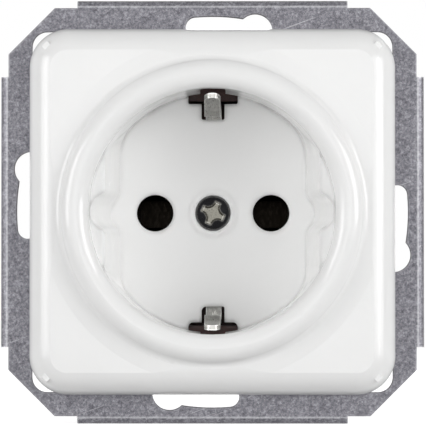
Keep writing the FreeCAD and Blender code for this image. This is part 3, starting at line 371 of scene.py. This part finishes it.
def nickel_strip():
    """Nickel-plated strip, brushed along its length."""
    finish = Finish("nickel_strip")
    brushed = finish.noise(1.0, 3.0, 0.6, finish.stretched(9.0, 1.2, 1.2))
    cloud = finish.noise(0.6, 4.0)
    shade = finish.ramp(
        finish.math("MULTIPLY_ADD", brushed, 0.5, finish.math("MULTIPLY", cloud, 0.5)),
        (0.3, (0.30, 0.295, 0.28)),
        (0.5, (0.42, 0.415, 0.395)),
        (0.7, (0.54, 0.53, 0.51)),
    )
    # Painted highlight along the convex edges, partly edge wear.
    shade = finish.blend(finish.edges(0.25), shade, (0.78, 0.77, 0.75, 1.0))
    gloss = finish.spread(brushed, 0.22, 0.42, 0.3, 0.7)
    set_shader(finish, {"Base Color": shade, "Roughness": gloss, "Metallic": 1.0})
    finish.relief(brushed, 0.006)
    return finish.material


def stamped_brass():
    """Rolled brass with a light tarnish, and painted shade in near black where the pins slide in."""
    finish = Finish("stamped_brass")
    tarnish = finish.noise(0.5, 5.0)
    grain = finish.noise(1.0, 3.0, 0.6, finish.stretched(2.0, 8.0, 1.0))
    shade = finish.ramp(
        tarnish, (0.3, (0.48, 0.31, 0.11)), (0.5, (0.66, 0.47, 0.2)), (0.7, (0.74, 0.56, 0.27))
    )
    # Painted shade: near black within a band about the middle height, where the pin holes lie in shade.
    height = finish.math("ABSOLUTE", finish.axes()["Z"])
    pin_hole_shade = finish.spread(height, 1.0, 0.0, PIN_HOLE_SHADE_REACH, PIN_HOLE_SHADE_REACH + 1.5)
    shade = finish.blend(pin_hole_shade, shade, (0.006, 0.005, 0.004, 1.0))
    gloss = finish.spread(grain, 0.22, 0.4, 0.3, 0.7)
    set_shader(finish, {"Base Color": shade, "Roughness": gloss, "Metallic": 1.0})
    finish.relief(grain, 0.005)
    return finish.material


def dark_screw():
    """A dark passivated head, worn bright in its cross recess, with painted highlights, painted shade
    and painted glints there.
    """
    finish = Finish("dark_screw")
    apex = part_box("cover_screw")[0].y / MM
    centre = (0.0, apex + SCREW_DOME, 0.0)
    from_centre = finish.add("ShaderNodeVectorMath", {0: finish.place, 1: centre}, operation="DISTANCE")
    depth = finish.math("SUBTRACT", SCREW_DOME, from_centre.outputs["Value"])
    from_axis = finish.from_axis()
    recess = finish.math(
        "MULTIPLY",
        finish.spread(depth, 0.0, 1.0, 0.02, 0.08),
        finish.spread(from_axis, 1.0, 0.0, 2.2, 2.3),
    )
    grain = finish.noise(3.0, 5.0)
    # Colour by depth in the recess: a painted highlight on the rim, painted shade on the sloped walls
    # and a lighter floor, over the worn bare metal.
    tint = finish.ramp(
        finish.math("MULTIPLY_ADD", grain, 0.3, depth),
        (0.2, (0.5, 0.49, 0.45)),
        (0.4, (0.11, 0.1, 0.075)),
        (0.9, (0.06, 0.056, 0.044)),
        (1.0, (0.15, 0.145, 0.125)),
    )
    # Painted glints: near white at the ends of the cross's arms.
    painted_glint = finish.spread(from_axis, 0.0, 0.9, 1.65, 1.8)
    tint = finish.blend(painted_glint, tint, (0.9, 0.89, 0.86, 1.0))
    rubbed = finish.math("MULTIPLY", finish.edges(0.15), 0.35)
    shade = finish.blend(finish.math("MAXIMUM", recess, rubbed), (0.012, 0.012, 0.013, 1.0), tint)
    gloss = finish.spread(grain, 0.16, 0.34, 0.3, 0.7)
    set_shader(finish, {"Base Color": shade, "Roughness": gloss, "Metallic": 0.95})
    finish.relief(grain, 0.012)
    return finish.material


FINISHES = {
    "cover_plastic": white_moulding,
    "dark_screw": dark_screw,
    "zinc_sheet": galvanised_sheet,
    "zinc_steel": zinc_plate,
    "base_plastic": thermoset,
    "nickel_strip": nickel_strip,
    "contact_brass": stamped_brass,
    "claw_steel": passivated_claw,
}


def dress_nodes():
    """Every solid gets the finish of its slot in the record."""
    made = {slot: build() for slot, build in FINISHES.items()}
    for part in frame["record"]["subparts"]:
        for slot in frame["nodes"][part["node"]].material_slots:
            slot.material = made[part["material_slot"]]
    return made


# Claw screws, in millimetres
SCREW_RADIUS = 1.5
THREAD_ROOT = 1.24
THREAD_PITCH = 0.5
THREAD_START = 0.3
ROWS_PER_PITCH = 8
SIDES = 32
HEAD_HEIGHT = 1.7
HEAD_CHAMFER = 0.34
SLOT_DEPTH = 0.94
SLOT_HALF = 0.4
SHANK_INSET = 0.2
SHARP_DEGREES = 40.0


class Shells:
    """Closed shells stacked from rings of points, gathered into one mesh."""

    def __init__(self):
        self.points = []
        self.faces = []

    def stack(self, rings):
        """Skins rings of equal count, each a list of points, and caps both ends."""
        first = len(self.points)
        count = len(rings[0])
        for ring in rings:
            self.points.extend(ring)
        for row in range(len(rings) - 1):
            low = first + row * count
            for here in range(count):
                after = (here + 1) % count
                self.faces.append((low + count + here, low + count + after, low + after, low + here))
        last = first + (len(rings) - 1) * count
        self.faces.append(tuple(range(first, first + count)))
        self.faces.append(tuple(range(last + count - 1, last - 1, -1)))

    def piece(self, name, x, z, material):
        """The shells as one object, moved from millimetres about an axis to the frame."""
        mesh = bpy.data.meshes.new(name)
        placed = [((x + a) * MM, b * MM, (z + c) * MM) for a, b, c in self.points]
        mesh.from_pydata(placed, [], self.faces)
        mesh.materials.append(material)
        mesh.validate()
        piece = bpy.data.objects.new(name, mesh)
        bpy.context.scene.collection.objects.link(piece)
        return piece


def thread_radius(y, turn, seat, tip):
    """Right-hand thread at a depth and share of a turn, plain at the head, tapered at the tip."""
    groove = 0.5 - 0.5 * math.cos(2 * math.pi * (y / THREAD_PITCH + turn))
    run_out = min(max((y - seat - THREAD_START) / THREAD_PITCH, 0.0), 1.0)
    radius = SCREW_RADIUS - (SCREW_RADIUS - THREAD_ROOT) * groove * run_out
    return min(radius, SCREW_RADIUS - max(y - tip + HEAD_CHAMFER, 0.0))


def half_moon(radius, y, way):
    """Outline of the head on one side of its slot."""
    start = math.asin(SLOT_HALF / radius)
    steps = [start + (math.pi - 2 * start) * step / (SIDES // 2) for step in range(SIDES // 2 + 1)]
    return [(radius * math.cos(a) * way, y, radius * math.sin(a) * way) for a in steps]


def add_claw_screw(node, material):
    """A slotted cheese-head screw with a cut thread, in place of the plain solid."""
    low, high = (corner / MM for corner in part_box(node))
    top, tip = low.y, high.y
    seat = top + HEAD_HEIGHT
    head = (high.x - low.x) / 2
    turns = [side / SIDES for side in range(SIDES)]
    ways = [(math.cos(2 * math.pi * turn), math.sin(2 * math.pi * turn)) for turn in turns]
    shells = Shells()
    step = THREAD_PITCH / ROWS_PER_PITCH
    start = seat - SHANK_INSET
    rows = [start + step * row for row in range(int((tip - start) / step) + 1)] + [tip]
    shank = []
    for y in rows:
        radii = [thread_radius(y, turn, seat, tip) for turn in turns]
        shank.append([(r * a, y, r * b) for r, (a, b) in zip(radii, ways)])
    shells.stack(shank)
    disc = [(top + SLOT_DEPTH, head), (seat, head)]
    shells.stack([[(r * a, y, r * b) for a, b in ways] for y, r in disc])
    crown = [(top, head - HEAD_CHAMFER), (top + HEAD_CHAMFER, head), (top + SLOT_DEPTH, head)]
    for way in (1, -1):
        shells.stack([half_moon(r, y, way) for y, r in crown])
    middle = (low + high) / 2
    piece = shells.piece(node + "_threaded", middle.x, middle.z, material)
    piece.data.shade_smooth()
    piece.data.set_sharp_from_angle(angle=math.radians(SHARP_DEGREES))
    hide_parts(node)
    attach(piece, node)


# Studio, in metres and watts
FLOOR_SIDE = 6.0
FLOOR_COLOUR = (0.68, 0.68, 0.68, 1.0)
FLOOR_LIFT = 0.7
FILL_ABOVE = 0.3
FILL_BELOW = 0.08
LAMPS = [
    ("left_front_box", (-0.46, -0.42, 0.02), (0.3, 0.55), 1.0),
    ("left_side_box", (-0.57, -0.31, 0.02), (0.3, 0.55), 2.0),
    ("right_front_box", (0.46, -0.42, 0.02), (0.3, 0.55), 1.3),
    ("right_side_box", (0.57, -0.31, 0.02), (0.3, 0.55), 2.3),
    ("front_box", (0.0, -0.85, 0.0), (0.6, 0.4), 1.2),
    ("rear_box", (0.25, 0.8, 0.3), (0.6, 0.5), 1.8),
]


def sees_background(graph):
    """1 for camera, glossy and transmission rays, which see the white surroundings."""
    path = graph.add("ShaderNodeLightPath").outputs
    seen = graph.math("MAXIMUM", path["Is Camera Ray"], path["Is Glossy Ray"])
    return graph.math("MAXIMUM", seen, path["Is Transmission Ray"])


def add_world():
    """White for what the eye and the gloss see, and a soft fill that comes mostly from above."""
    world = bpy.data.worlds.new("studio")
    world.use_nodes = True
    bpy.context.scene.world = world
    graph = Graph(world.node_tree)
    way = graph.add("ShaderNodeTexCoord").outputs["Generated"]
    height = graph.add("ShaderNodeSeparateXYZ", {0: way}).outputs["Z"]
    fill = graph.spread(height, FILL_BELOW, FILL_ABOVE, -1.0, 1.0)
    colour = graph.blend(sees_background(graph), fill, (1.0, 1.0, 1.0, 1.0))
    graph.feed(world.node_tree.nodes["Background"].inputs["Color"], colour)


def add_floor():
    """A pale floor under the lowest tab that keeps the socket's shadow."""
    half = FLOOR_SIDE / 2
    level = cad_box[0].z
    corners = [(-half, -half, level), (half, -half, level), (half, half, level), (-half, half, level)]
    mesh = bpy.data.meshes.new("floor")
    mesh.from_pydata(corners, [], [(0, 1, 2, 3)])
    floor = bpy.data.objects.new("floor", mesh)
    bpy.context.scene.collection.objects.link(floor)
    finish = Finish("pale_floor")
    lift = finish.math("MULTIPLY", sees_background(finish), FLOOR_LIFT)
    set_shader(
        finish,
        {
            "Base Color": FLOOR_COLOUR,
            "Roughness": 0.9,
            "Emission Color": (1.0, 1.0, 1.0, 1.0),
            "Emission Strength": lift,
        },
    )
    mesh.materials.append(finish.material)


def add_lamps():
    for name, place, size, power in LAMPS:
        data = bpy.data.lights.new(name, "AREA")
        data.shape = "RECTANGLE"
        data.size, data.size_y = size
        data.energy = power
        lamp = bpy.data.objects.new(name, data)
        lamp.location = place
        lamp.rotation_mode = "QUATERNION"
        lamp.rotation_quaternion = (-Vector(place)).to_track_quat("-Z", "Y")
        bpy.context.scene.collection.objects.link(lamp)


add_camera()
finishes = dress_nodes()
add_claw_screw("claw_screw_left", finishes["zinc_steel"])
add_claw_screw("claw_screw_right", finishes["zinc_steel"])
add_world()
add_floor()
add_lamps()
bpy.context.scene.view_settings.view_transform = "Standard"
